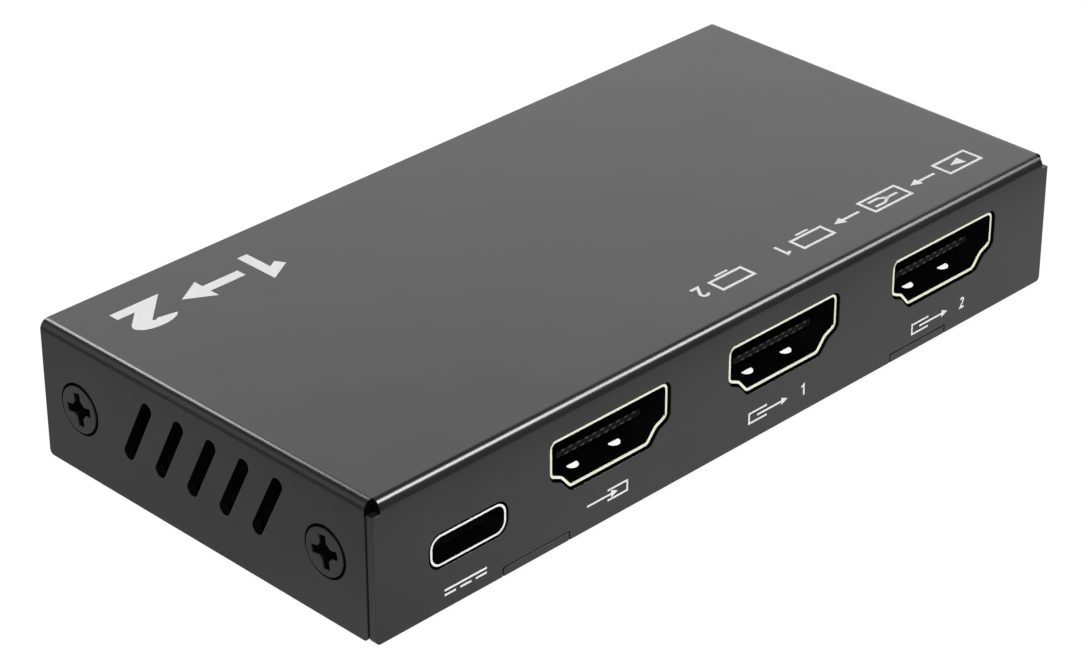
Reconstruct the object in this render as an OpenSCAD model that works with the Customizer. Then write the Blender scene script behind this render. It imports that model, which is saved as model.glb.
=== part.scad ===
// Video signal splitter: one input socket feeds two output sockets, in a folded sheet metal case.
// The sockets face -Y, the vented ends are at -X and +X, and the origin is under the middle of the case.

/* [Case] */
// Length of the case along the row of sockets
case_len = 90; // [88:1:120]
// Depth of the case from the socket face to the rear wall
case_w = 44; // [42:1:60]
// Height of the case without its feet
case_h = 14; // [13.6:0.2:20]
// Thickness of the folded sheet metal
sheet = 0.8; // [0.6:0.05:1]
// Inside radius of the sheet metal bends
bend_inner = 0.15; // [0.1:0.05:0.4]
// Open seam between two folded edges of the cover
seam = 0.15; // [0.1:0.05:0.4]
// Clearance between the cover and the tray
tray_gap = 0.1; // [0.05:0.05:0.2]
// Radius of the free corners of the flanges
corner_r = 0.5; // [0.2:0.1:1]
// How far the socket flange stops short of the end faces
flange_inset = 0.1; // [0.05:0.05:0.5]
// How far the corner reliefs run below the bends
relief_drop = 0.3; // [0.1:0.05:0.6]

/* [Tongues] */
// Width of the tray's hooking tongues
tongue_w = 8; // [5:0.5:12]
// Distance of a tongue's middle from the end of the case
tongue_edge = 19.1; // [12:0.1:30]
// Clearance round a tongue in its notch
tongue_gap = 0.15; // [0.05:0.01:0.3]

/* [Vents] */
// Number of slots in each end
vent_count = 5; // [1:1:5]
// Distance from one slot to the next
vent_pitch = 4.33; // [3:0.01:5]
// Overall length of a slot
vent_len = 7.6; // [3:0.1:8]
// Width of a slot
vent_w = 1.4; // [0.8:0.1:2]
// Lean of the slots towards the socket face
vent_tilt = 27; // [0:1:40]
// Distance of the slots' middle below the case's top
vent_drop = 6; // [5.2:0.1:7]

/* [Case screws] */
// Thread diameter of the case screws
screw_d = 2.5; // [2:0.1:3]
// Diameter of the screw heads
head_d = 4.66; // [3.8:0.02:5]
// Height of the straight rim of a head, above its cone
head_rim = 0.45; // [0.3:0.05:0.5]
// How far the heads stand out of the end faces
head_rise = 0.1; // [0:0.05:0.2]
// Gap round the heads in the end faces
head_gap = 0.27; // [0.1:0.01:0.3]
// Overall length of a case screw
screw_len = 4.4; // [3.5:0.1:6]
// Height of the screws above the board
screw_rise = 2.25; // [2.05:0.05:3]
// Distance of the screws from the edges of the end flanges
screw_edge = 5.05; // [4.6:0.05:6]
// Length of the arms of the cross recess
cross_len = 3.3; // [2:0.1:3.6]
// Width of the arms of the cross recess
cross_w = 0.85; // [0.5:0.05:1]
// Depth of the cross recess
cross_depth = 0.9; // [0.4:0.1:1]
// Turn of the cross recess in its head
cross_turn = 9; // [0:1:45]
// Clearance round the threads
thread_gap = 0.04; // [0.02:0.01:0.1]
// Width of the tray's screw lugs
lug_w = 7.4; // [5.5:0.1:7.6]
// Height of a lug above its screw's axis
lug_top = 3; // [2:0.1:4]
// Length of the threaded collar behind a lug
collar_len = 0.8; // [0.4:0.1:1.5]
// Wall of the threaded collar
collar_wall = 0.7; // [0.4:0.1:1.2]

/* [Feet] */
// Diameter of the rubber feet
foot_d = 8; // [5:0.5:10]
// Height of the rubber feet
foot_h = 1; // [0.6:0.1:2]
// Chamfer round the bottom of a foot
foot_chamfer = 0.3; // [0.1:0.05:0.5]
// Distance of a foot's middle from the case's edges
foot_inset = 7.5; // [6:0.5:12]

/* [Board] */
// Height of the board standoffs
standoff_h = 2.15; // [1.8:0.05:2.5]
// Diameter of the board standoffs
standoff_d = 4.4; // [3.6:0.1:5.5]
// Thickness of the circuit board
board_t = 1.6; // [1.2:0.1:1.8]
// Clearance between the board and the case round it
board_gap = 0.4; // [0.2:0.1:0.8]
// Thread diameter of the board screws
board_screw_d = 2; // [1.6:0.1:2.5]
// Diameter of the board screws' heads
board_head_d = 3.8; // [3:0.1:4.2]
// Height of the board screws' heads
board_head_h = 1.3; // [0.8:0.1:1.6]
// Clearance round the board screws in the board
board_hole_gap = 0.1; // [0.05:0.05:0.3]
// Distance of the board screws from the board's ends
board_hole_end = 3.4; // [2.8:0.1:5]
// Distance of the front board screws from the board's front edge
board_hole_front = 15.5; // [15:0.1:17]
// Distance of the rear board screws from the board's rear edge
board_hole_rear = 9.5; // [8:0.1:11]
// Clearance round each leg that passes through the board
leg_gap = 0.1; // [0.05:0.01:0.2]
// How far the legs stand out below the board
leg_tail = 0.8; // [0.3:0.1:1.2]

/* [Video sockets] */
// Distance of the input socket's middle from the end of the case beside it
video_first = 28.4; // [27:0.1:30]
// Distance of the last output socket's middle from the other end of the case
video_last = 15.7; // [14:0.1:18]
// Width of a video socket's shell
video_w = 14.8; // [14.4:0.1:16]
// Height of a video socket's shell
video_h = 5.5; // [5.1:0.1:6]
// Width of the shell's floor
video_floor_w = 9.86; // [9.4:0.02:10.4]
// Width of the shell at its step
video_step_w = 12.1; // [11.6:0.1:12.6]
// Height of the step above the shell's floor
video_step_z = 1.33; // [1.1:0.01:1.5]
// Height at which the shell's upright sides begin
video_side_z = 1.93; // [1.8:0.01:2.2]
// Corner radius of the shell's outline
video_r = 0.7; // [0.55:0.05:0.8]
// Depth of the shell
video_depth = 11; // [10:0.1:12]
// Wall of the shell
video_wall = 0.4; // [0.35:0.01:0.5]
// Width of the shell's rim, where the mouth opens out
video_rim = 0.25; // [0.2:0.01:0.35]
// Depth of the opened-out mouth
video_mouth = 0.6; // [0.3:0.1:1]
// Height of the shell above the board
video_lift = 0.74; // [0.7:0.01:1.2]
// How far the rims lie behind the socket face
video_recess = 0.22; // [0.05:0.01:0.3]
// Clearance round the sockets in the cover
cutout_gap = 0.26; // [0.1:0.01:0.4]
// Clearance between a shell and its insulator
fit_gap = 0.05; // [0.02:0.01:0.1]

/* [Video socket insides] */
// Depth of the tongue's front edge behind the rim
blade_y = 1.35; // [1:0.05:2.5]
// Width of the contact tongue
blade_w = 10.6; // [10.2:0.1:11]
// Thickness of the contact tongue
blade_t = 0.65; // [0.6:0.05:1.4]
// Depth at which the solid rear block begins
block_y = 7.6; // [6.5:0.1:8.5]
// Thickness of the insulator behind the shell
back_t = 0.9; // [0.6:0.1:1.4]
// Distance between neighbouring contacts of one row
contact_pitch = 1; // [0.9:0.01:1]
// Width of a contact
contact_w = 0.44; // [0.3:0.01:0.44]
// Thickness of a contact
contact_t = 0.18; // [0.1:0.01:0.22]
// Clearance round a contact in its groove
contact_gap = 0.03; // [0.01:0.01:0.04]
// Length of a contact's solder foot
foot_len = 0.8; // [0.5:0.1:1]
// Radius of the round fronts of the two sprung pads on the floor
spring_r = 0.63; // [0.5:0.01:0.9]
// Length of the pads' straight sides
spring_len = 0.05; // [0.05:0.05:0.8]
// Height of the sprung pads
spring_h = 0.1; // [0.05:0.01:0.3]
// Distance of the pads from the socket's middle
spring_x = 2.65; // [1.5:0.05:3.5]
// Depth of the pads' straight edges behind the rim
spring_y = 2.1; // [1.6:0.05:3]

/* [Power socket] */
// Distance of the power socket's middle from the end of the case
power_edge = 11; // [9.5:0.1:13]
// Width of the power socket's shell
power_w = 8.95; // [8.6:0.05:9.4]
// Height of the power socket's shell
power_h = 3.1; // [3:0.05:3.4]
// Corner radius of the power socket's shell
power_r = 1.2; // [0.9:0.05:1.45]
// Depth of the power socket's shell
power_depth = 7.3; // [6.5:0.1:8]
// Wall of the power socket's shell
power_wall = 0.22; // [0.2:0.01:0.35]
// How far the power socket's rim lies behind the socket face
power_recess = 0.05; // [0.02:0.01:0.2]
// Depth of the power socket's tongue behind its rim
power_blade_y = 0.9; // [0.6:0.1:1.5]
// Width of the power socket's tongue
power_blade_w = 6.6; // [6.2:0.1:6.8]
// Thickness of the power socket's tongue
power_blade_t = 0.7; // [0.6:0.05:0.8]
// Depth at which the power socket's rear block begins
power_block_y = 4.6; // [4:0.1:5.2]

/* [Splitter chip and cooling] */
// Place of the splitter chip along the case, from the first output's middle
chip_shift = -3.25; // [-6:0.25:2]
// Width of the splitter chip
chip_w = 10; // [8:0.5:12]
// Thickness of the splitter chip
chip_t = 0.9; // [0.6:0.1:1.4]
// Thickness of the thermal pad
pad_t = 0.5; // [0.3:0.1:1]
// Width of the heat sink
sink_w = 16; // [13:0.5:18]
// Thickness of the heat sink's base
sink_base = 1.4; // [1:0.1:2]
// Overall height of the heat sink
sink_h = 5.2; // [3:0.1:5.6]
// Number of fins
fin_count = 7; // [3:1:9]
// Thickness of a fin
fin_t = 0.8; // [0.5:0.1:1]
// Distance from the video sockets' solder feet to the heat sink
sink_clear = 3.4; // [3:0.1:5]

/* [Status lights] */
// Number of status lights on the rear wall
light_count = 4; // [1:1:4]
// Distance from one light to the next
light_pitch = 6; // [4:0.5:7]
// Distance of the first light from the board's end
light_first = 15.1; // [12:0.1:17]
// Height of the lights above the board
light_z = 1.7; // [1.6:0.05:2.2]
// Diameter of a light guide
guide_d = 1.9; // [1.4:0.1:2.2]
// Length of a light guide inside the wall
guide_len = 2; // [1.4:0.1:3]
// Clearance round a light guide in the wall
guide_gap = 0.05; // [0.02:0.01:0.1]
// Width of a guide's collar behind the wall
guide_collar = 0.4; // [0.2:0.05:0.5]

/* [Selector switch] */
// Distance of the selector's middle from the board's end
selector_edge = 22.1; // [16:0.1:28]
// Travel of the selector knob each way from the middle
selector_travel = 2; // [1:0.1:2.5]
// Width of the knob's stem
stem_w = 1.8; // [1.4:0.1:2.4]
// Height of the knob's stem
stem_h = 1.4; // [1:0.1:1.6]
// Width of the carriage inside the housing
carriage_w = 3.2; // [2.8:0.1:4]
// Height of the carriage inside the housing
carriage_h = 2.2; // [1.9:0.1:2.4]
// Clearance round the sliding knob
knob_gap = 0.1; // [0.05:0.01:0.2]
// How far the knob's tip lies inside the rear face
knob_recess = 0.25; // [0.1:0.05:0.6]
// Clearance between the knob's stem and the slot in the rear wall
slot_gap = 0.3; // [0.15:0.05:0.5]
// Wall of the selector's housing
housing_wall = 0.4; // [0.3:0.05:0.5]
// Depth of the selector's housing
housing_d = 3.6; // [3:0.1:4.5]

/* [Hidden] */
$fn = 48;
eps = 0.01;
// How far a cut runs past the face it opens
over = 1;

// Case planes
half_len = case_len / 2;
front_y = -case_w / 2;
rear_y = case_w / 2;
case_z = foot_h;
top_z = case_z + case_h;
bend_r = bend_inner + sheet;
bend_x = half_len - bend_r;
end_front_y = front_y + max(sheet + seam, bend_r);
tray_x = half_len - sheet - tray_gap;
tray_front_y = front_y + sheet + tray_gap;
tray_z = case_z + sheet;
wall_y = rear_y - sheet;
tongue_x = half_len - tongue_edge;
// How far a folded section runs into the flat flange below its bend
fold_lap = 1;

// Board
board_z0 = tray_z + standoff_h;
board_z1 = board_z0 + board_t;
board_x = tray_x - sheet - collar_len - board_gap;
board_front_y = front_y + sheet + board_gap;
board_rear_y = wall_y - board_gap;
// How far a board screw stops short of its standoff's foot
board_screw_short = 0.2;
board_screw_len = board_t + standoff_h - board_screw_short;
// Length, width and depth of the cross recess in a board screw
board_cross = [2.2, 0.5, 0.6];
hole_x = board_x - board_hole_end;
hole_y = [board_front_y + board_hole_front, board_rear_y - board_hole_rear];

// Case screws
screw_y = [end_front_y + screw_edge, rear_y - screw_edge];
screw_axis_z = board_z1 + screw_rise;
head_cone = (head_d - screw_d) / 2;
head_seat = head_rim - head_rise;
// How many times wider than its arms the middle of a cross recess is
cross_core = 2.2;
lug_relief = 0.3;

// Video sockets
video_pitch = (case_len - video_first - video_last) / 2;
video_places = [for (i = [0:2]) -half_len + video_first + i * video_pitch];
video_y = front_y + video_recess;
video_z = board_z1 + video_lift;
blade_z = video_h / 2;
back_y = video_depth + back_t;
tail_gap = 0.1;
tail_step = 0.45;
tail_y = [back_y + tail_gap + tail_step, back_y + tail_gap];
video_rear_y = video_y + tail_y[0] + foot_len;
leg_y = [2.4, 8];
leg_w = 1.2;
leg_rise = 1;
leg_top = video_side_z + leg_rise;
plinth_inset = 0.8;
row_count = [10, 9];
video_corners_right = [
    [video_w / 2, video_h],
    [video_w / 2, video_side_z],
    [video_step_w / 2, video_step_z],
    [video_floor_w / 2, 0]
];
video_corners = concat(
    video_corners_right,
    [for (i = [3:-1:0]) [-video_corners_right[i][0], video_corners_right[i][1]]]
);

// Power socket
power_x = -half_len + power_edge;
power_y = front_y + power_recess;
power_leg_y = [1.6, 5.6];
power_leg_w = 0.9;
power_row = 4;
power_pitch = 1.3;
power_contact_w = 0.5;
power_back_t = 0.6;
power_back_y = power_depth + power_back_t;
power_tail_y = [power_back_y + tail_gap + tail_step, power_back_y + tail_gap];

// Chip and heat sink
chip_x = video_places[1] + chip_shift;
sink_y = video_rear_y + sink_clear + sink_w / 2;
chip_pins = 10;
pin_pitch = 0.8;
pin_w = 0.35;
pin_len = 0.5;
pin_t = 0.15;

// Rear wall parts
light_x = -board_x + light_first;
selector_x = board_x - selector_edge;
guide_z = board_z1 + light_z;
guide_end_y = wall_y - guide_len;
light_gap = 0.2;
light_size = [2.6, 1.4, 2.4];
collar_t = 0.5;
housing_h = carriage_h + 2 * (knob_gap + housing_wall);
knob_z = board_z1 + housing_h / 2;
housing_y0 = board_rear_y - housing_d;
cavity_x = carriage_w / 2 + selector_travel + knob_gap;
housing_x = cavity_x + housing_wall;
window_x = stem_w / 2 + selector_travel + knob_gap;
terminal_pitch = 2.5;
terminal_w = 0.5;

// Small parts on the board, placed along X from its two ends and along Y from its middle
left_x = -board_x;
right_x = board_x;
// Regulator and its inductor
regulator_end = 12.1;
regulator_y = 5;
regulator_place = [left_x + regulator_end, regulator_y];
regulator_size = [6.5, 3.5, 1.6];
tab_w = 3;
lead_w = 0.7;
lead_len = 1.2;
lead_t = 0.3;
lead_pitch = 2.3;
inductor_step = 9;
inductor_place = regulator_place - [0, inductor_step];
inductor_size = [5.4, 5.4, 2.8];
inductor_r = 0.8;
// Capacitor cans on both sides of the regulator
can_end = 5.6;
can_step = 14.5;
can_y = 2.5;
can_shift = 1;
can_places = [[left_x + can_end, can_y], [left_x + can_end + can_step, can_y - can_shift]];
can_d = 5;
can_h = 5.2;
can_lip = 0.15;
can_base_h = 0.8;
can_base = [can_d + 2 * can_lip, can_d + 2 * can_lip, can_base_h];
// Control chip, with its crystal and its row of resistors
control_end = 19.1;
control_y = 2;
control_place = [right_x - control_end, control_y];
control_size = [7, 7, 1.4];
control_pins = 7;
crystal_end = 8.6;
crystal_y = 5;
crystal_place = [right_x - crystal_end, crystal_y];
crystal_size = [5, 3.2, 1.1];
crystal_r = 0.5;
resistor_end = 18.1;
resistor_y = 11.5;
resistor_count = 6;
resistor_pitch = 2;
resistor_start = [right_x - resistor_end, resistor_y];
resistor_size = [0.8, 1.6, 0.5];
// Pairs of block capacitors by the regulator, on both sides of the heat sink and by the control chip
block_pitch = 3;
supply_block_end = 16.6;
supply_block_y = 8;
input_block_end = 27.1;
input_block_y = 6;
output_block_end = 24.1;
output_block_y = 8;
control_block_end = 13.1;
control_block_y = -2;
block_places = [for (i = [0, 1]) each [
    [left_x + supply_block_end, supply_block_y + i * block_pitch],
    [left_x + input_block_end, input_block_y + i * block_pitch],
    [right_x - output_block_end + i * block_pitch, output_block_y],
    [right_x - control_block_end, control_block_y + i * block_pitch]
]];
block_size = [2, 1.25, 0.9];
// Surge arrays behind each video socket
array_size = [2.5, 1, 0.55];
array_offset = 2.6;
array_clear = 1.4;

// Points of outlines
function unit(v) = v / norm(v);
function right_of(v) = [v[1], -v[0]];
function wrap(a) = a > 180 ? a - 360 : a < -180 ? a + 360 : a;
// Where the line through p along u meets the line through q along v
function meet(p, u, q, v) = p + u * cross(q - p, v) / cross(u, v);
// A corner moved inwards by d, on an outline that runs clockwise
function inset_corner(a, b, c, d) =
    meet(b + right_of(unit(b - a)) * d, unit(b - a), b + right_of(unit(c - b)) * d, unit(c - b));
// The least corner radius of an outline
least_r = 0.05;
// An outward corner's radius shrinks as the outline moves inwards, and an inward corner's grows
function inset_radius(a, b, c, r, d) = max(r + (cross(b - a, c - b) < 0 ? -d : d), least_r);
// The arc that rounds corner b between its neighbours a and c
function corner_arc(a, b, c, r, steps = 6) =
    let (u = unit(a - b), v = unit(c - b), half = acos(u * v) / 2)
    let (centre = b + unit(u + v) * r / sin(half), reach = r / tan(half))
    let (from = b + u * reach - centre, to = b + v * reach - centre)
    let (start = atan2(from[1], from[0]), turn = wrap(atan2(to[1], to[0]) - start))
    [for (k = [0:steps]) centre + r * [cos(start + turn * k / steps), sin(start + turn * k / steps)]];
// The outline of a video socket, moved inwards by d
function video_outline(d) =
    let (n = len(video_corners))
    let (before = function (i) (i + n - 1) % n, after = function (i) (i + 1) % n)
    let (moved = [for (i = [0:n - 1])
        inset_corner(video_corners[before(i)], video_corners[i], video_corners[after(i)], d)])
    [for (i = [0:n - 1]) each corner_arc(moved[before(i)], moved[i], moved[after(i)],
        inset_radius(moved[before(i)], moved[i], moved[after(i)], video_r, d))];

// A box between two corners
module slab(low, high) {
    translate(low) cube(high - low);
}

// A box that stands on the plane z, centred on a place
module stand(place, size, z) {
    translate([place[0] - size[0] / 2, place[1] - size[1] / 2, z]) cube(size);
}

// A flat shape in X and Z, drawn out along Y
module along_y(y0, y1) {
    translate([0, y1, 0]) rotate([90, 0, 0]) linear_extrude(y1 - y0) children();
}

// A flat shape in Y and Z, drawn out along X
module along_x(x0, x1) {
    translate([x0, 0, 0]) rotate([90, 0, 90]) linear_extrude(x1 - x0) children();
}

// A rectangle with round corners, centred on the origin
module round_rect(w, h, r) {
    square([w - 2 * r, h], center = true);
    square([w, h - 2 * r], center = true);
    for (x = [-1, 1], y = [-1, 1])
        translate([x * (w / 2 - r), y * (h / 2 - r)]) circle(r);
}

// A slot with round ends, upright on the origin
module slot_shape(l, w) {
    square([w, l - w], center = true);
    for (s = [-1, 1])
        translate([0, s * (l - w) / 2]) circle(d = w);
}

// A flange that hangs from the line y = h down to y = 0, with round lower corners
module flange_shape(w, h) {
    translate([-w / 2, corner_r]) square([w, h - corner_r]);
    translate([-w / 2 + corner_r, 0]) square([w - 2 * corner_r, corner_r]);
    for (s = [-1, 1])
        translate([s * (w / 2 - corner_r), corner_r]) circle(corner_r);
}

// The section of a sheet w wide, folded down at both ends, with its top on the line y = 0
module fold_shape(w, drop) {
    difference() {
        translate([0, -drop]) round_rect(w, 2 * drop, bend_r);
        translate([0, -drop - sheet]) round_rect(w - 2 * sheet, 2 * drop, bend_inner);
        translate([-w, -3 * drop]) square([2 * w, 2 * drop]);
    }
}

// The same with one fold only, at the line x = 0, and a flat part that ends at x = w
module half_fold_shape(w, drop) {
    intersection() {
        translate([w, 0]) fold_shape(2 * w, drop);
        translate([-over, -2 * drop]) square([w + over, 3 * drop]);
    }
}

// A flat shape in Y and Z, drawn from depth d0 to depth d1 behind the face of one end (side -1 or 1)
module on_end(side, d0, d1) {
    x = side * (half_len - (d0 + d1) / 2);
    along_x(x - (d1 - d0) / 2, x + (d1 - d0) / 2) children();
}

// Places a child at each screw of one end (side -1 or 1), with its +Z pointing out of the end face
module at_end_screws(side) {
    for (y = screw_y)
        translate([side * half_len, y, screw_axis_z]) rotate([0, side * 90, 0]) children();
}

// The space of a case screw: a bore for the head's rim, a seat for its cone, and clearance round the thread
module sink_space() {
    translate([0, 0, -head_seat]) cylinder(h = head_seat + over, d = head_d + 2 * head_gap);
    translate([0, 0, -head_seat - head_d / 2]) cylinder(h = head_d / 2 + eps, r1 = 0, d2 = head_d + 2 * eps);
    translate([0, 0, -screw_len - over]) cylinder(h = screw_len + over, r = screw_d / 2 + thread_gap);
}

module vent_slots() {
    for (i = [0:vent_count - 1])
        translate([(i - (vent_count - 1) / 2) * vent_pitch, top_z - vent_drop])
            rotate(vent_tilt) slot_shape(vent_len, vent_w);
}

module top_cover() color([0.26, 0.26, 0.27]) {
    difference() {
        union() {
            // Top, with the bends of the socket flange and of the two end flanges
            along_x(-bend_x, bend_x) translate([front_y, top_z])
                half_fold_shape(case_w, bend_r + relief_drop + fold_lap);
            along_y(end_front_y, rear_y) translate([0, top_z]) fold_shape(case_len, bend_r + fold_lap);
            // Flanges
            along_y(front_y, front_y + sheet) translate([0, case_z])
                flange_shape(2 * (half_len - flange_inset), case_h - bend_r - relief_drop);
            for (s = [-1, 1])
                on_end(s, 0, sheet) translate([(end_front_y + rear_y) / 2, case_z])
                    flange_shape(rear_y - end_front_y, case_h - bend_r);
        }
        for (x = video_places)
            along_y(front_y - over, front_y + sheet + eps)
                translate([x, video_z]) polygon(video_outline(-cutout_gap));
        along_y(front_y - over, front_y + sheet + eps) translate([power_x, board_z1 + power_h / 2])
            round_rect(power_w + 2 * cutout_gap, power_h + 2 * cutout_gap, power_r + cutout_gap);
        for (s = [-1, 1]) {
            notch_x = tongue_w / 2 + tongue_gap;
            slab([s * tongue_x - notch_x, front_y - over, case_z - over],
                [s * tongue_x + notch_x, front_y + sheet + eps, tray_z + tongue_gap]);
            on_end(s, -over, sheet + eps) vent_slots();
            at_end_screws(s) sink_space();
        }
    }
}

// One screw lug above its bend, with its threaded collar
module tray_lug(side) {
    on_end(side, half_len - tray_x, half_len - tray_x + sheet)
        translate([0, screw_axis_z + lug_top]) mirror([0, 1])
        flange_shape(lug_w, screw_axis_z + lug_top - case_z - bend_r);
    translate([side * (tray_x - sheet - collar_len), 0, screw_axis_z]) rotate([0, side * 90, 0])
        cylinder(h = collar_len + eps, d = screw_d + 2 * collar_wall);
}

module base_tray() color([0.24, 0.24, 0.25]) {
    difference() {
        union() {
            // Floor and rear wall, cut free beside the screw lugs
            difference() {
                along_x(-tray_x, tray_x) translate([rear_y, case_z]) mirror([1, 0]) mirror([0, 1])
                    half_fold_shape(rear_y - tray_front_y, top_z - sheet - tray_gap - case_z);
                for (s = [-1, 1], y = screw_y)
                    stand([s * tray_x, y], [2 * bend_r, lug_w + 2 * lug_relief, sheet + 2 * over],
                        case_z - over);
            }
            // Screw lugs, bent up at both ends
            for (y = screw_y)
                translate([0, y, 0]) {
                    along_y(-lug_w / 2, lug_w / 2) translate([0, case_z]) mirror([0, 1])
                        fold_shape(2 * tray_x, bend_r + fold_lap);
                    tray_lug(-1);
                    tray_lug(1);
                }
            // Tongues that hook into the socket flange
            for (s = [-1, 1])
                slab([s * tongue_x - tongue_w / 2, front_y, case_z],
                    [s * tongue_x + tongue_w / 2, tray_front_y + eps, tray_z]);
        }
        for (s = [-1, 1])
            at_end_screws(s) sink_space();
        at_lights() translate([0, wall_y - eps, guide_z]) rotate([-90, 0, 0])
            cylinder(h = sheet + over, d = guide_d + 2 * guide_gap);
        along_y(wall_y - eps, rear_y + over) translate([selector_x, knob_z])
            round_rect(stem_w + 2 * (selector_travel + slot_gap), stem_h + 2 * slot_gap, corner_r);
    }
}

// A cross recess with a tapered middle, cut down from the plane z = 0
module cross_recess(l, w, depth) {
    for (a = [0, 90])
        rotate(a) translate([-l / 2, -w / 2, -depth]) cube([l, w, depth + over]);
    translate([0, 0, -depth]) cylinder(h = depth + eps, d1 = w, d2 = cross_core * w);
}

module case_screws() color([0.22, 0.22, 0.23]) {
    tip = head_rise - screw_len;
    for (s = [-1, 1])
        at_end_screws(s) difference() {
            rotate_extrude()
                polygon([
                    [0, tip], [screw_d / 2, tip], [screw_d / 2, -head_seat - head_cone],
                    [head_d / 2, -head_seat], [head_d / 2, head_rise], [0, head_rise]
                ]);
            translate([0, 0, head_rise]) rotate(cross_turn) cross_recess(cross_len, cross_w, cross_depth);
        }
}

module rubber_feet() color([0.1, 0.1, 0.1])
    for (x = [-1, 1], y = [-1, 1])
        translate([x * (half_len - foot_inset), y * (rear_y - foot_inset), 0])
            rotate_extrude()
                polygon([
                    [0, 0], [foot_d / 2 - foot_chamfer, 0], [foot_d / 2, foot_chamfer],
                    [foot_d / 2, foot_h], [0, foot_h]
                ]);

// Places a child over each board screw
module at_board_screws() {
    for (x = [-hole_x, hole_x], y = hole_y)
        translate([x, y, 0]) children();
}

module board_standoffs() color([0.75, 0.72, 0.6])
    at_board_screws() translate([0, 0, tray_z]) difference() {
        cylinder(h = standoff_h, d = standoff_d);
        translate([0, 0, -over]) cylinder(h = standoff_h + 2 * over, d = board_screw_d + 2 * thread_gap);
    }

module board_screws() color([0.2, 0.2, 0.21])
    at_board_screws() translate([0, 0, board_z1]) difference() {
        union() {
            cylinder(h = board_head_h, d = board_head_d);
            translate([0, 0, -board_screw_len]) cylinder(h = board_screw_len + eps, d = board_screw_d);
        }
        translate([0, 0, board_head_h]) cross_recess(board_cross[0], board_cross[1], board_cross[2]);
    }

module circuit_board() color([0.08, 0.09, 0.08])
    difference() {
        slab([-board_x, board_front_y, board_z0], [board_x, board_rear_y, board_z1]);
        at_board_screws() translate([0, 0, board_z0 - over])
            cylinder(h = board_t + 2 * over, d = board_screw_d + 2 * board_hole_gap);
        for (i = [0:len(video_places) - 1])
            at_video(i)
                socket_legs(video_w, video_wall, leg_y, leg_w, -video_lift - board_t - over, over, leg_gap);
        at_power() socket_legs(power_w, power_wall, power_leg_y, power_leg_w, -board_t - over, over, leg_gap);
        terminal_pins(board_z0 - over, board_z1 + over, leg_gap);
    }

// The legs on both sides of a socket of width w, each grown by g on its four sides
module socket_legs(w, wall, places, width, low, high, g = 0) {
    for (s = [-1, 1], y = places)
        stand([s * (w - wall) / 2, y], [wall + 2 * g, width + 2 * g, high - low], low);
}

// Video socket shell, with its mouth at y = 0 and its floor at z = 0
module video_shell() color([0.86, 0.83, 0.66]) {
    difference() {
        union() {
            along_y(0, video_depth) polygon(video_outline(0));
            socket_legs(video_w, video_wall, leg_y, leg_w, -video_lift - board_t - leg_tail, leg_top);
        }
        along_y(-over, video_mouth) polygon(video_outline(video_rim));
        along_y(-over, video_depth + over) polygon(video_outline(video_wall));
    }
    for (s = [-1, 1])
        translate([s * spring_x, spring_y - spring_len, video_wall / 2]) difference() {
            union() {
                cylinder(h = video_wall / 2 + spring_h, r = spring_r);
                translate([-spring_r, 0, 0]) cube([2 * spring_r, spring_len, video_wall / 2 + spring_h]);
            }
            translate([-spring_r - over, spring_len, -over]) cube([2 * (spring_r + over), spring_r + over, video_h]);
        }
}

// The contacts of a video socket, each grown by g on every side
module video_contacts(g = 0) {
    for (row = [0, 1], i = [0:row_count[row] - 1]) {
        x = (i - (row_count[row] - 1) / 2) * contact_pitch;
        z = row == 0 ? blade_z + blade_t / 2 - contact_t : blade_z - blade_t / 2;
        w = contact_w / 2 + g;
        y = tail_y[row];
        slab([x - w, blade_y - g, z - g], [x + w, y + contact_t + g, z + contact_t + g]);
        slab([x - w, y - g, -video_lift], [x + w, y + contact_t + g, z + contact_t / 2]);
        slab([x - w, y - g, -video_lift], [x + w, y + foot_len + g, -video_lift + contact_t + g]);
    }
}

// The insulator of a video socket: tongue, rear block, back plate and plinth
module video_insulator() color([0.06, 0.06, 0.06]) {
    plinth_x = video_floor_w / 2 - plinth_inset;
    difference() {
        union() {
            slab([-blade_w / 2, blade_y, blade_z - blade_t / 2],
                [blade_w / 2, block_y + eps, blade_z + blade_t / 2]);
            along_y(block_y, back_y) polygon(video_outline(video_wall + fit_gap));
            slab([-plinth_x, video_depth + fit_gap, -video_lift], [plinth_x, back_y, video_h / 2]);
            slab([-plinth_x, blade_y, -video_lift], [plinth_x, back_y, 0]);
        }
        video_contacts(contact_gap);
    }
}

// Places a child at a video socket
module at_video(i) {
    translate([video_places[i], video_y, video_z]) children();
}

module video_input_shell() at_video(0) video_shell();
module video_output_1_shell() at_video(1) video_shell();
module video_output_2_shell() at_video(2) video_shell();
module video_input_insulator() at_video(0) video_insulator();
module video_output_1_insulator() at_video(1) video_insulator();
module video_output_2_insulator() at_video(2) video_insulator();
module video_input_contacts() at_video(0) color([0.83, 0.66, 0.3]) video_contacts();
module video_output_1_contacts() at_video(1) color([0.83, 0.66, 0.3]) video_contacts();
module video_output_2_contacts() at_video(2) color([0.83, 0.66, 0.3]) video_contacts();

// Places a child at the power socket, on the board
module at_power() {
    translate([power_x, power_y, board_z1]) children();
}

// The outline of the power socket, moved inwards by d, with its floor at z = 0
module power_outline(d) {
    translate([0, power_h / 2]) round_rect(power_w - 2 * d, power_h - 2 * d, power_r - d);
}

module power_socket_shell() color([0.85, 0.85, 0.86])
    at_power() difference() {
        union() {
            along_y(0, power_depth) power_outline(0);
            socket_legs(power_w, power_wall, power_leg_y, power_leg_w, -board_t - leg_tail, power_h / 2);
        }
        along_y(-over, power_depth + over) power_outline(power_wall);
    }

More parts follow.
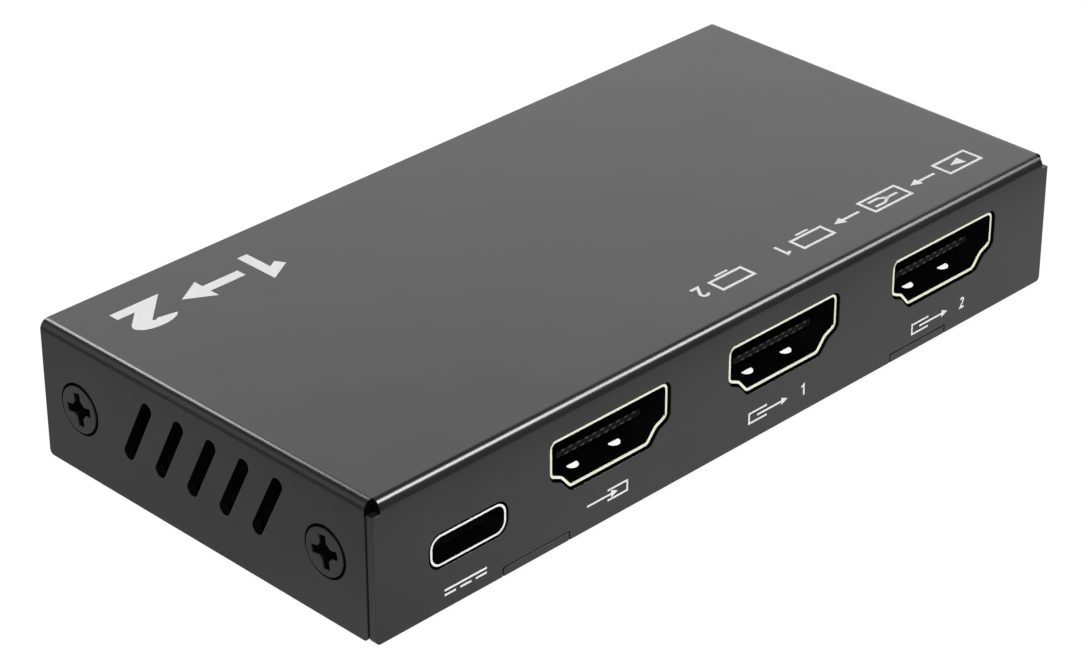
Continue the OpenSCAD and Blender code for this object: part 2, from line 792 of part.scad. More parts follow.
// The contacts of the power socket, each grown by g on every side
module power_contacts(g = 0) {
    for (row = [0, 1], i = [0:power_row - 1]) {
        stagger = (row == 0 ? 0.25 : -0.25) * power_pitch;
        x = (i - (power_row - 1) / 2) * power_pitch + stagger;
        z = (power_h + (row == 0 ? power_blade_t : -power_blade_t)) / 2 - (row == 0 ? contact_t : 0);
        w = power_contact_w / 2 + g;
        y = power_tail_y[row];
        slab([x - w, power_blade_y - g, z - g], [x + w, y + contact_t + g, z + contact_t + g]);
        slab([x - w, y - g, 0], [x + w, y + contact_t + g, z + contact_t / 2]);
        slab([x - w, y - g, 0], [x + w, y + foot_len + g, contact_t + g]);
    }
}

module power_socket_insulator() color([0.06, 0.06, 0.06])
    at_power() difference() {
        union() {
            slab([-power_blade_w / 2, power_blade_y, (power_h - power_blade_t) / 2],
                [power_blade_w / 2, power_block_y + eps, (power_h + power_blade_t) / 2]);
            along_y(power_block_y, power_back_y) power_outline(power_wall + fit_gap);
            slab([-power_blade_w / 2, power_depth + fit_gap, 0],
                [power_blade_w / 2, power_back_y, power_h / 2]);
        }
        power_contacts(contact_gap);
    }

module power_socket_contacts() color([0.83, 0.66, 0.3])
    at_power() power_contacts();

// A chip body with a row of flat pins along each side, resting on the board
module chip(place, size, pins) {
    stand(place, [size[0], size[1], size[2] - pin_t], board_z1 + pin_t);
    for (a = [0, 90, 180, 270], i = [0:pins - 1])
        translate([place[0], place[1], board_z1]) rotate(a)
            stand([(i - (pins - 1) / 2) * pin_pitch, (a % 180 == 0 ? size[1] : size[0]) / 2],
                [pin_w, 2 * pin_len, pin_t + eps], 0);
}

module splitter_chip() color([0.09, 0.09, 0.1])
    chip([chip_x, sink_y], [chip_w, chip_w, chip_t], chip_pins);

module control_chip() color([0.09, 0.09, 0.1])
    chip(control_place, control_size, control_pins);

module thermal_pad() color([0.55, 0.6, 0.68])
    stand([chip_x, sink_y], [chip_w, chip_w, pad_t], board_z1 + chip_t);

module heat_sink() color([0.62, 0.63, 0.65]) {
    z = board_z1 + chip_t + pad_t;
    stand([chip_x, sink_y], [sink_w, sink_w, sink_base], z);
    for (i = [0:fin_count - 1])
        stand([chip_x + (i / (fin_count - 1) - 0.5) * (sink_w - fin_t), sink_y], [fin_t, sink_w, sink_h], z);
}

module surge_arrays() color([0.1, 0.1, 0.1])
    for (x = video_places, s = [-1, 1])
        stand([x + s * array_offset, video_rear_y + array_clear], array_size, board_z1);

module voltage_regulator() color([0.09, 0.09, 0.1]) {
    x = regulator_place[0];
    side_y = regulator_size[1] / 2;
    stand(regulator_place, regulator_size, board_z1);
    stand([x, regulator_place[1] + side_y], [tab_w, 2 * lead_len, lead_t], board_z1);
    for (i = [-1:1])
        stand([x + i * lead_pitch, regulator_place[1] - side_y], [lead_w, 2 * lead_len, lead_t], board_z1);
}

module power_inductor() color([0.16, 0.16, 0.17])
    translate([inductor_place[0], inductor_place[1], board_z1])
        linear_extrude(inductor_size[2]) round_rect(inductor_size[0], inductor_size[1], inductor_r);

module capacitors() color([0.1, 0.1, 0.11]) {
    for (p = can_places) {
        translate([p[0], p[1], board_z1]) cylinder(h = can_h, d = can_d);
        stand(p, can_base, board_z1);
    }
    for (p = block_places)
        stand(p, block_size, board_z1);
}

module resistors() color([0.12, 0.12, 0.12])
    for (i = [0:resistor_count - 1])
        stand(resistor_start + [i * resistor_pitch, 0], resistor_size, board_z1);

module clock_crystal() color([0.8, 0.8, 0.8])
    translate([crystal_place[0], crystal_place[1], board_z1])
        linear_extrude(crystal_size[2]) round_rect(crystal_size[0], crystal_size[1], crystal_r);

// Places a child on the axis of each status light
module at_lights() {
    for (i = [0:light_count - 1])
        translate([light_x + i * light_pitch, 0, 0]) children();
}

module status_lights() color([0.92, 0.9, 0.8])
    at_lights() stand([0, guide_end_y - light_gap - light_size[1] / 2], light_size, board_z1);

module light_guides() color([0.85, 0.92, 0.95])
    at_lights() translate([0, guide_end_y, guide_z]) rotate([-90, 0, 0]) {
        cylinder(h = guide_len + sheet - guide_gap, d = guide_d);
        translate([0, 0, guide_len - collar_t]) cylinder(h = collar_t, d = guide_d + 2 * guide_collar);
    }

module selector_housing() color([0.7, 0.7, 0.72])
    translate([selector_x, 0, 0]) difference() {
        slab([-housing_x, housing_y0, board_z1], [housing_x, board_rear_y, board_z1 + housing_h]);
        slab([-cavity_x, housing_y0 + housing_wall, knob_z - carriage_h / 2 - knob_gap],
            [cavity_x, board_rear_y - housing_wall, knob_z + carriage_h / 2 + knob_gap]);
        slab([-window_x, housing_y0 + housing_d / 2, knob_z - stem_h / 2 - knob_gap],
            [window_x, board_rear_y + over, knob_z + stem_h / 2 + knob_gap]);
    }

// The selector's pins between two heights, each grown by g on its four sides
module terminal_pins(low, high, g = 0) {
    pin = terminal_w + 2 * g;
    for (i = [-1:1])
        stand([selector_x + i * terminal_pitch, housing_y0 + housing_d / 2], [pin, pin, high - low], low);
}

module selector_terminals() color([0.8, 0.78, 0.7])
    terminal_pins(board_z0 - leg_tail, board_z1);

module selector_knob() color([0.15, 0.15, 0.15])
    translate([selector_x, 0, knob_z]) {
        slab([-carriage_w / 2, housing_y0 + housing_wall + knob_gap, -carriage_h / 2],
            [carriage_w / 2, board_rear_y - housing_wall - knob_gap, carriage_h / 2]);
        slab([-stem_w / 2, board_rear_y - housing_wall - knob_gap - eps, -stem_h / 2],
            [stem_w / 2, rear_y - knob_recess, stem_h / 2]);
    }

top_cover();
base_tray();
case_screws();
rubber_feet();
board_standoffs();
board_screws();
circuit_board();
video_input_shell();
video_input_insulator();
video_input_contacts();
video_output_1_shell();
video_output_1_insulator();
video_output_1_contacts();
video_output_2_shell();
video_output_2_insulator();
video_output_2_contacts();
power_socket_shell();
power_socket_insulator();
power_socket_contacts();
splitter_chip();
thermal_pad();
heat_sink();
control_chip();
surge_arrays();
voltage_regulator();
power_inductor();
capacitors();
resistors();
clock_crystal();
status_lights();
light_guides();
selector_housing();
selector_terminals();
selector_knob();
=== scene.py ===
"""Looks of the video signal splitter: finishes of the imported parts, printed signs, studio and camera."""
import math

import bmesh
import bpy
from mathutils import Matrix, Vector


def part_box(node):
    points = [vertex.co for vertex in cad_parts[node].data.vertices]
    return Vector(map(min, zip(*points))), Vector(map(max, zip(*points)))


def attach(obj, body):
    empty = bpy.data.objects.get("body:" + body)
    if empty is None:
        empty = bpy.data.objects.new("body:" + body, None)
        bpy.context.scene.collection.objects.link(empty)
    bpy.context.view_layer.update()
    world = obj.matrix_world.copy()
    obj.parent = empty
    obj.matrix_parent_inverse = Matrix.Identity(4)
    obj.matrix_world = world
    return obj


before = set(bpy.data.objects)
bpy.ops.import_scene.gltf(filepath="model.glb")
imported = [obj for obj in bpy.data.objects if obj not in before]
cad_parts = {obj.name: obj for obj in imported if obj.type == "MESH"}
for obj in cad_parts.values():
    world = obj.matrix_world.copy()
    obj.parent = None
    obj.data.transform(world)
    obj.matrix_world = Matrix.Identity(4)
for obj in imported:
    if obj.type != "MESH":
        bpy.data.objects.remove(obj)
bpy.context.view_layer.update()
scene = bpy.context.scene
MM = 0.001


# Shader building

class Nodes:
    """Short calls for the nodes of one tree."""

    def __init__(self, tree):
        self.tree = tree

    def node(self, kind, **values):
        made = self.tree.nodes.new(kind)
        for key, value in values.items():
            setattr(made, key, value)
        return made

    def link(self, source, target):
        self.tree.links.new(source, target)

    def plug(self, target, value):
        if isinstance(value, bpy.types.NodeSocket):
            self.link(value, target)
        else:
            target.default_value = value

    def math(self, operation, a, b=0.0):
        made = self.node("ShaderNodeMath", operation=operation)
        self.plug(made.inputs[0], a)
        self.plug(made.inputs[1], b)
        return made.outputs[0]

    def span(self, value, low, high, to_low=0.0, to_high=1.0):
        """Maps low..high onto to_low..to_high and stops there."""
        made = self.node("ShaderNodeMapRange")
        made.inputs["From Min"].default_value = low
        made.inputs["From Max"].default_value = high
        made.inputs["To Min"].default_value = to_low
        made.inputs["To Max"].default_value = to_high
        self.link(value, made.inputs["Value"])
        return made.outputs["Result"]

    def mix(self, factor, a, b):
        """Colour a where factor is 0 and colour b where it is 1."""
        made = self.node("ShaderNodeMix", data_type="RGBA")
        self.plug(made.inputs[0], factor)
        self.plug(made.inputs[6], a if isinstance(a, bpy.types.NodeSocket) else (*a, 1.0))
        self.plug(made.inputs[7], b if isinstance(b, bpy.types.NodeSocket) else (*b, 1.0))
        return made.outputs[2]

    def both(self, *masks):
        """1 where every mask is 1."""
        result = masks[0]
        for mask in masks[1:]:
            result = self.math("MULTIPLY", result, mask)
        return result

    def either(self, *masks):
        """1 where any mask is 1."""
        result = masks[0]
        for mask in masks[1:]:
            result = self.math("MAXIMUM", result, mask)
        return result

    def between(self, value, low, high):
        """1 where the value lies between two limits."""
        return self.both(self.math("GREATER_THAN", value, low), self.math("LESS_THAN", value, high))

    def split(self, vector):
        """The three values of a vector."""
        made = self.node("ShaderNodeSeparateXYZ")
        self.link(vector, made.inputs[0])
        return made.outputs


class Shader(Nodes):
    """A material with one Principled shader."""

    def __init__(self, name, color, roughness, metallic=0.0, **sockets):
        self.material = bpy.data.materials.new(name)
        self.material.use_nodes = True
        super().__init__(self.material.node_tree)
        self.bsdf = self.tree.nodes["Principled BSDF"]
        self.set("Base Color", (*color, 1.0))
        self.set("Roughness", roughness)
        self.set("Metallic", metallic)
        for key, value in sockets.items():
            self.set(key.replace("_", " "), value)
        self.place = self.node("ShaderNodeTexCoord").outputs["Object"]

    def set(self, socket, value):
        self.bsdf.inputs[socket].default_value = value

    def feed(self, source, socket):
        self.link(source, self.bsdf.inputs[socket])

    def noise(self, grain_mm, detail=2.0, stretch=None):
        """Noise with a grain of about grain_mm, drawn out by stretch along X, Y and Z."""
        place = self.place
        if stretch:
            mapping = self.node("ShaderNodeMapping")
            mapping.inputs["Scale"].default_value = [1.0 / s for s in stretch]
            self.link(place, mapping.inputs["Vector"])
            place = mapping.outputs["Vector"]
        made = self.node("ShaderNodeTexNoise")
        made.inputs["Scale"].default_value = 1.0 / (grain_mm * MM)
        made.inputs["Detail"].default_value = detail
        self.link(place, made.inputs["Vector"])
        return made.outputs["Fac"]

    def axes(self):
        """The surface's place as three values, in metres."""
        return self.split(self.place)

    def facing(self):
        """The surface's true direction as three values."""
        return self.split(self.node("ShaderNodeNewGeometry").outputs["True Normal"])

    def bump(self, height, depth_mm, strength=1.0, normal=None):
        made = self.node("ShaderNodeBump")
        made.inputs["Strength"].default_value = strength
        made.inputs["Distance"].default_value = depth_mm * MM
        self.link(height, made.inputs["Height"])
        if normal:
            self.link(normal, made.inputs["Normal"])
        self.feed(made.outputs["Normal"], "Normal")
        return made.outputs["Normal"]

    def rounded(self, radius_mm):
        """Softened edges, and how far each spot is turned by them."""
        made = self.node("ShaderNodeBevel", samples=6)
        made.inputs["Radius"].default_value = radius_mm * MM
        dot = self.node("ShaderNodeVectorMath", operation="DOT_PRODUCT")
        self.link(made.outputs["Normal"], dot.inputs[0])
        self.link(self.node("ShaderNodeNewGeometry").outputs["Normal"], dot.inputs[1])
        return made.outputs["Normal"], self.span(dot.outputs["Value"], 0.98, 0.75)


# Finishes

# Dull black: the colour of the black socket plastic, and painted shade in holes, recesses and the insides of
# the sockets
BLACK_AND_PAINTED_SHADE = (0.002, 0.002, 0.002)
PAINT_GLOSS = 0.35


def shade(color, factor):
    """The colour made lighter or darker."""
    return tuple(min(c * factor, 1.0) for c in color)


def cloudy(shader, color, grain_mm=9.0, spread=0.15):
    """The colour, a little lighter and darker in soft patches."""
    patches = shader.span(shader.noise(grain_mm, 3.0), 0.3, 0.7)
    return shader.mix(patches, shade(color, 1.0 - spread), shade(color, 1.0 + spread))


def paint(name, color, painted_shade=None):
    """Fine powder coat with soft gloss, lighter along sharp edges, and dull black painted shade without gloss
    where the given mask gives 1.
    """
    s = Shader(name, color, 0.24, Specular_IOR_Level=PAINT_GLOSS)
    normal, edge = s.rounded(0.1)
    worn = s.math("MULTIPLY", edge, s.span(s.noise(1.6, 4.0), 0.45, 0.7, 0.0, 0.35))
    coat = s.mix(worn, cloudy(s, color), shade(color, 3.0))
    soft = s.span(s.noise(14.0, 3.0), 0.3, 0.7, 0.21, 0.25)
    roughness = s.math("ADD", soft, s.span(s.noise(0.5), 0.3, 0.7, 0.0, 0.02))
    if painted_shade:
        dark = painted_shade(s)
        # Painted shade: the masked holes, notches and recesses are drawn dull black, with no gloss
        coat = s.mix(dark, coat, BLACK_AND_PAINTED_SHADE)
        roughness = s.either(roughness, dark)
        s.feed(s.span(dark, 0.0, 1.0, PAINT_GLOSS, 0.0), "Specular IOR Level")
    s.feed(coat, "Base Color")
    s.feed(roughness, "Roughness")
    s.bump(s.noise(0.12, 1.0), 0.004, 0.05, normal)
    return s


def metal(name, color, roughness, brushed=None):
    """Plated or plain metal, with fine drawn lines along one way where brushed is given."""
    s = Shader(name, color, roughness, 1.0)
    s.feed(cloudy(s, color, 3.0, 0.08), "Base Color")
    lines = s.noise(0.12, 3.0, brushed)
    s.feed(s.span(lines, 0.3, 0.7, roughness * 0.8, roughness * 1.25), "Roughness")
    s.bump(lines, 0.004, 0.25)
    return s


def plastic(name, color, roughness, grain_mm=0.15, gloss=0.5):
    """Moulded plastic with a fine spark-eroded grain."""
    s = Shader(name, color, roughness, Specular_IOR_Level=gloss)
    s.feed(cloudy(s, color, 2.5, 0.12), "Base Color")
    s.feed(s.span(s.noise(1.2, 3.0), 0.3, 0.7, roughness * 0.88, roughness * 1.12), "Roughness")
    s.bump(s.noise(grain_mm, 1.0), 0.006, 0.3)
    return s


def rubber(name, color):
    """Matt rubber with a little pale dust in its grain."""
    s = Shader(name, color, 0.75)
    dust = s.span(s.noise(0.9, 5.0), 0.52, 0.75, 0.0, 0.25)
    s.feed(s.mix(dust, color, shade(color, 3.0)), "Base Color")
    s.feed(s.span(s.noise(0.5, 3.0), 0.3, 0.7, 0.68, 0.85), "Roughness")
    s.bump(s.noise(0.18, 2.0), 0.015, 0.35)
    return s


def finish_nodes(names, shader):
    """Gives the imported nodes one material."""
    for name in names:
        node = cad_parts[name]
        if node.material_slots:
            for slot in node.material_slots:
                slot.material = shader.material
        else:
            node.data.materials.append(shader.material)


# Case

CASE_COLOR = (0.0135, 0.0135, 0.0138)
SHEET = 0.8 * MM
BEND_R = 0.95 * MM
TONGUE_X = 25.9 * MM
TONGUE_W = 8.0 * MM
NOTCH_H = 1.1 * MM
CORNER_H = 1.5 * MM
# Least margins of the cover's holes from its edges
MARGIN_LOW = 1.5 * MM
MARGIN_HIGH = 1.6 * MM
MARGIN_SIDE = 1.5 * MM
MARGIN_END = 3.0 * MM
cover_lo, cover_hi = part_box("top_cover")


def in_flange(s, depth):
    """1 inside the sheet's thickness, where depth is measured from its outer face."""
    return s.between(depth, 0.02 * MM, 0.95 * SHEET)


def cut_walls(s):
    """The walls of the cover's holes, notches and corner gaps, where paint draws painted shade in dull black.
    """
    place, facing = s.axes(), s.facing()
    z = place["Z"]
    away = s.math("ABSOLUTE", place["X"])
    front_depth = s.math("SUBTRACT", place["Y"], cover_lo.y)
    end_depth = s.math("SUBTRACT", cover_hi.x, away)
    in_front = in_flange(s, front_depth)
    level = s.between(z, cover_lo.z + MARGIN_LOW, cover_hi.z - MARGIN_HIGH)
    sockets = s.both(level, in_front, s.math("GREATER_THAN", end_depth, MARGIN_END))
    inner = s.math("LESS_THAN", s.math("ABSOLUTE", place["Y"]), cover_hi.y - MARGIN_SIDE)
    ends = s.both(level, in_flange(s, end_depth), inner)
    beside = s.between(away, TONGUE_X - 0.6 * TONGUE_W, TONGUE_X + 0.6 * TONGUE_W)
    notches = s.both(beside, in_front, s.between(z, cover_lo.z + 0.02 * MM, cover_lo.z + NOTCH_H))
    bend_ends = s.both(s.math("GREATER_THAN", s.math("ABSOLUTE", facing["X"]), 0.99),
                       s.between(end_depth, 0.5 * BEND_R, 1.2 * BEND_R))
    bend_sides = s.both(s.math("LESS_THAN", facing["Y"], -0.99),
                        s.between(front_depth, 0.5 * BEND_R, 1.2 * BEND_R))
    corners = s.both(s.either(bend_ends, bend_sides), s.math("GREATER_THAN", z, cover_hi.z - CORNER_H))
    return s.either(sockets, ends, notches, corners)


def tongue_walls(s):
    """The sides and tops of the tray's tongues, inside their notches, where paint draws painted shade in dull
    black.
    """
    depth = s.math("SUBTRACT", s.axes()["Y"], cover_lo.y)
    return s.both(in_flange(s, depth), s.math("GREATER_THAN", s.facing()["Z"], -0.9))


def cross_recess(s):
    """The inside of the screws' cross recesses, below their flat heads, where paint draws painted shade in
    dull black.
    """
    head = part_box("case_screws")[1].x
    depth = s.math("SUBTRACT", head, s.math("ABSOLUTE", s.axes()["X"]))
    return s.span(depth, 0.03 * MM, 0.15 * MM)


finish_nodes(["top_cover"], paint("cover_paint", CASE_COLOR, cut_walls))
finish_nodes(["base_tray"], paint("tray_paint", CASE_COLOR, tongue_walls))
finish_nodes(["case_screws"], paint("screw_paint", shade(CASE_COLOR, 0.9), cross_recess))
finish_nodes(["rubber_feet"], rubber("foot_rubber", (0.02, 0.02, 0.02)))


# Sockets

VIDEO_SOCKETS = ("video_input", "video_output_1", "video_output_2")
VIDEO_FLOOR_DROP = 5.1 * MM
VIDEO_PLATE = (0.98, 0.985, 0.79)
POWER_PLATE = (0.95, 0.95, 0.95)
RIM_DEPTH = 0.1 * MM
LIP_HEIGHT = 2.0 * MM
PAD_HEIGHT = (0.02 * MM, 0.3 * MM)
PAD_DEPTH = (0.9 * MM, 2.2 * MM)
PAD_REACH = 3.6 * MM
PAD_SLOPE = 0.6
# Near white painted highlight on the pads of the video shells
PAD_HIGHLIGHT = (0.97, 0.97, 0.95)


def plated_shell(name, node, color, details=None):
    """A plated socket shell: bright at its rim, dull black painted shade inside, and bright again on the
    spots from details, where the pads get a painted highlight.
    """
    s = Shader(name, color, 0.3)
    lo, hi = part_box(node)
    depth = s.math("SUBTRACT", s.axes()["Y"], lo.y)
    rim = s.both(s.math("LESS_THAN", depth, RIM_DEPTH), s.math("LESS_THAN", s.facing()["Y"], -0.5))
    lines = s.span(s.noise(0.1, 3.0), 0.3, 0.7)
    normal = s.bump(lines, 0.004, 0.2)
    bright = rim
    if details:
        lip, pads = details(s, depth, lo, hi)
        bright = s.either(rim, lip, pads)
        s.bump(s.math("MULTIPLY", pads, depth), PAD_SLOPE / MM, 1.0, normal)
        # Painted highlight: the pads on the shell's floor are drawn near white
        color = s.mix(pads, color, PAD_HIGHLIGHT)
    worn = s.mix(s.math("MULTIPLY", lines, 0.12), color, BLACK_AND_PAINTED_SHADE)
    # Painted shade: all but the rim and the details' spots is drawn dull black, with no gloss and little
    # metal
    s.feed(s.mix(bright, BLACK_AND_PAINTED_SHADE, worn), "Base Color")
    s.feed(s.math("MULTIPLY", rim, 0.25), "Metallic")
    s.feed(s.math("MULTIPLY", bright, 0.5), "Specular IOR Level")
    s.feed(s.span(lines, 0.0, 1.0, 0.28, 0.4), "Roughness")
    return s


def video_details(s, depth, lo, hi):
    """A video shell's lower lip, which catches the light, and the sloping pads on its floor, where
    plated_shell puts a painted highlight.
    """
    place = s.axes()
    away = s.math("ABSOLUTE", s.math("SUBTRACT", place["X"], (lo.x + hi.x) / 2))
    height = s.math("SUBTRACT", place["Z"], hi.z - VIDEO_FLOOR_DROP)
    lip = s.both(s.math("LESS_THAN", depth, RIM_DEPTH), s.math("GREATER_THAN", s.facing()["Z"], 0.5),
                 s.math("LESS_THAN", height, LIP_HEIGHT))
    pads = s.both(s.between(height, *PAD_HEIGHT), s.between(depth, *PAD_DEPTH),
                  s.math("LESS_THAN", away, PAD_REACH))
    return lip, pads


def front_ends(name, front, gloss):
    """A colour that shows only on the ends that face the front, with the sides drawn dull black as painted
    shade.
    """
    s = Shader(name, front, 0.5)
    ends = s.math("LESS_THAN", s.facing()["Y"], -0.5)
    lines = s.span(s.noise(0.08, 3.0), 0.3, 0.7)
    # Painted shade: the sides inside the sockets are drawn dull black, without gloss
    s.feed(s.mix(ends, BLACK_AND_PAINTED_SHADE, s.mix(lines, shade(front, 0.8), front)), "Base Color")
    s.feed(s.math("MULTIPLY", ends, gloss), "Specular IOR Level")
    s.feed(s.span(lines, 0.0, 1.0, 0.45, 0.6), "Roughness")
    s.bump(lines, 0.003, 0.2)
    return s


for socket in VIDEO_SOCKETS:
    shell = socket + "_shell"
    finish_nodes([shell], plated_shell(shell + "_metal", shell, VIDEO_PLATE, video_details))
finish_nodes([socket + "_insulator" for socket in VIDEO_SOCKETS],
             front_ends("tongue_plastic", (0.007, 0.007, 0.007), 0.04))
finish_nodes([socket + "_contacts" for socket in VIDEO_SOCKETS],
             front_ends("contact_metal", (0.045, 0.045, 0.043), 0.2))
finish_nodes(["power_socket_shell"], plated_shell("power_shell_metal", "power_socket_shell", POWER_PLATE))
finish_nodes(["power_socket_insulator"], plastic("socket_plastic", BLACK_AND_PAINTED_SHADE, 0.8, gloss=0.02))
# Painted shade: the power socket's metal contacts are drawn dull black, without gloss
finish_nodes(["power_socket_contacts"], plastic("power_contact_metal", BLACK_AND_PAINTED_SHADE, 0.5, gloss=0.0))


# Inner parts

finish_nodes(["board_standoffs"], metal("standoff_brass", (0.72, 0.6, 0.38), 0.32))
finish_nodes(["selector_terminals", "selector_housing", "clock_crystal"],
             metal("plain_steel", (0.62, 0.62, 0.62), 0.3))
finish_nodes(["board_screws"], metal("coated_steel", (0.02, 0.02, 0.021), 0.45))
finish_nodes(["heat_sink"], metal("sink_aluminium", (0.7, 0.7, 0.71), 0.38, (1, 20, 1)))
finish_nodes(["splitter_chip", "control_chip", "surge_arrays", "voltage_regulator", "resistors"],
             plastic("chip_plastic", (0.02, 0.02, 0.022), 0.55))
finish_nodes(["thermal_pad"], rubber("pad_rubber", (0.3, 0.34, 0.4)))
finish_nodes(["power_inductor"], plastic("inductor_ferrite", (0.02, 0.02, 0.022), 0.6, 0.3))
finish_nodes(["capacitors"], plastic("capacitor_sleeve", (0.01, 0.01, 0.012), 0.5, gloss=0.2))
finish_nodes(["status_lights"], plastic("light_body", (0.8, 0.78, 0.68), 0.35))
finish_nodes(["selector_knob"], plastic("knob_plastic", (0.02, 0.02, 0.02), 0.45))


def laminate():
    """Matt black solder mask with the faint relief of tracks under it."""
    color = (0.006, 0.007, 0.006)
    s = Shader("board_laminate", color, 0.5, Specular_IOR_Level=0.1)
    tracks = s.node("ShaderNodeTexBrick", offset=0.5)
    tracks.inputs["Scale"].default_value = 1.0 / (2.4 * MM)
    tracks.inputs["Mortar Size"].default_value = 0.06
    s.link(s.place, tracks.inputs["Vector"])
    copper = s.span(tracks.outputs["Fac"], 0.2, 0.8)
    s.feed(s.mix(copper, cloudy(s, color, 4.0), shade(color, 1.7)), "Base Color")
    s.feed(s.span(s.noise(0.4, 2.0), 0.3, 0.7, 0.35, 0.48), "Roughness")
    s.bump(copper, 0.02, 0.4)
    return s


finish_nodes(["circuit_board"], laminate())


def clear_guide():
    """Clear moulding, a little frosted in spots."""
    s = Shader("guide_clear", (0.92, 0.94, 0.95), 0.12, Transmission_Weight=0.85, IOR=1.49)
    s.feed(s.span(s.noise(0.3, 2.0), 0.3, 0.7, 0.1, 0.25), "Roughness")
    s.bump(s.noise(0.2, 1.0), 0.005, 0.2)
    return s


finish_nodes(["light_guides"], clear_guide())


# Printed signs, drawn in mm on a flat plane and laid on the cover

INK_T = 0.02
LINE = 0.19


def box_shape(u0, v0, u1, v1):
    """A plain bar."""
    return [[(u0, v0), (u1, v0), (u1, v1), (u0, v1)]]


def stroke(points, width, closed=False):
    """A line of even width through the points, with mitred corners, as one strip of quads."""
    path = [Vector(p) for p in points]
    count = len(path)
    left, right = [], []
    for i, here in enumerate(path):
        before = path[i - 1] if i or closed else None
        after = path[(i + 1) % count] if i + 1 < count or closed else None
        a = (here - before).normalized() if before is not None else None
        b = (after - here).normalized() if after is not None else None
        a = a if a is not None else b
        b = b if b is not None else a
        along = (a + b).normalized()
        side = Vector((-along.y, along.x)) * (width / 2 / max(along.dot(b), 0.4))
        left.append(here + side)
        right.append(here - side)
    steps = range(count) if closed else range(count - 1)
    return [[left[i], right[i], right[(i + 1) % count], left[(i + 1) % count]] for i in steps]


def arc(u, v, r, start, end, steps=16):
    """Points round a middle, from one angle to another in degrees."""
    angles = [math.radians(start + (end - start) * k / steps) for k in range(steps + 1)]
    return [(u + r * math.cos(a), v + r * math.sin(a)) for a in angles]


def arrow(u0, u1, v, width, head, reach):
    """An arrow along u, as one outline: a shaft of even width and a solid head."""
    neck = u1 - reach
    w, h = width / 2, head / 2
    return [[(u0, v - w), (neck, v - w), (neck, v - h), (u1, v), (neck, v + h), (neck, v + w), (u0, v + w)]]


def digit(number, u, height, width):
    """The plain upright numeral 1 or 2, 0.55 of its height wide, standing on v = 0."""
    w, h, r = 0.55 * height, height, width / 2
    if number == 1:
        return stroke([(u + 0.1 * w, 0.78 * h), (u + 0.6 * w, h - r), (u + 0.6 * w, 0.0)], width)
    bowl = arc(u + w / 2, h - w / 2, w / 2 - r, 165, -35)
    return stroke(bowl + [(u + r, r), (u + w, r)], width)


def sign(name, shapes, origin, across, up):
    """Ink of even thickness on a plane, with across and up as the drawing's two directions."""
    across, up = Vector(across), Vector(up)
    out = across.cross(up)
    mesh = bpy.data.meshes.new(name)
    bm = bmesh.new()
    for shape in shapes:
        ring = [Vector(origin) + (across * p[0] + up * p[1]) * MM for p in shape]
        base = [bm.verts.new(p) for p in ring]
        top = [bm.verts.new(p + out * INK_T * MM) for p in ring]
        bm.faces.new(top)
        bm.faces.new(list(reversed(base)))
        for i in range(len(ring)):
            j = (i + 1) % len(ring)
            bm.faces.new([base[i], base[j], top[j], top[i]])
    bmesh.ops.recalc_face_normals(bm, faces=bm.faces)
    bm.to_mesh(mesh)
    bm.free()
    piece = bpy.data.objects.new(name, mesh)
    scene.collection.objects.link(piece)
    mesh.materials.append(ink.material)
    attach(piece, "case")


def print_ink():
    """Screen-printed white, thin in tiny specks."""
    color = (0.85, 0.85, 0.85)
    s = Shader("print_ink", color, 0.5)
    thin = s.span(s.noise(0.06, 3.0), 0.62, 0.75, 0.0, 0.5)
    s.feed(s.mix(thin, color, shade(color, 0.55)), "Base Color")
    s.feed(s.span(s.noise(0.2, 2.0), 0.3, 0.7, 0.42, 0.6), "Roughness")
    s.bump(s.noise(0.08, 2.0), 0.004, 0.3)
    return s


ink = print_ink()


def on_front(name, shapes, x, z):
    """Prints on the socket face, z above the cover's lower edge."""
    sign(name, shapes, (x * MM, cover_lo.y, cover_lo.z + z * MM), (1, 0, 0), (0, 0, 1))


def on_top(name, shapes, x, y):
    """Prints on the top, to be read from the rear."""
    sign(name, shapes, (x * MM, y * MM, cover_hi.z), (-1, 0, 0), (0, -1, 0))


# Direct current: a long bar over three dashes
on_front("print_power", box_shape(0, 0.72, 5.0, 0.92) + box_shape(0, 0.24, 1.3, 0.44)
         + box_shape(1.85, 0.24, 3.15, 0.44) + box_shape(3.7, 0.24, 5.0, 0.44), -36.95, 1.05)

# Into the box: an arrow that ends inside an open frame
on_front("print_input", arrow(0.0, 3.9, 0.6, LINE, 0.75, 0.85)
         + stroke([(2.6, 1.12), (5.1, 1.12), (5.1, 0.08), (2.6, 0.08)], LINE), -19.6, 1.85)


def output_sign(number):
    """Out of the box: an arrow that leaves an open frame, and the output's number."""
    return (stroke([(2.5, 1.12), (0.09, 1.12), (0.09, 0.08), (2.5, 0.08)], LINE)
            + arrow(1.2, 5.4, 0.6, LINE, 0.75, 0.85) + digit(number, 7.3, 1.2, LINE))


on_front("print_output_1", output_sign(1), 1.6, 1.75)
on_front("print_output_2", output_sign(2), 24.9, 1.75)


def ratio_sign():
    """The plain numbers 1 and 2 with an arrow between them, in bold strokes, 17.8 mm long and 4.7 mm tall."""
    bold, tall = 1.15, 4.7
    two_at, two_wider = 12.9, 1.9
    one = stroke([(0.3, 3.3), (2.1, 4.3), (2.1, 0.0)], bold)
    two = [[(two_at + p[0] * two_wider, p[1]) for p in quad] for quad in digit(2, 0.0, tall, bold)]
    return one + arrow(4.2, 11.3, tall / 2, bold, 3.4, 2.9) + two


on_top("print_ratio", ratio_sign(), -22.2, 18.2)


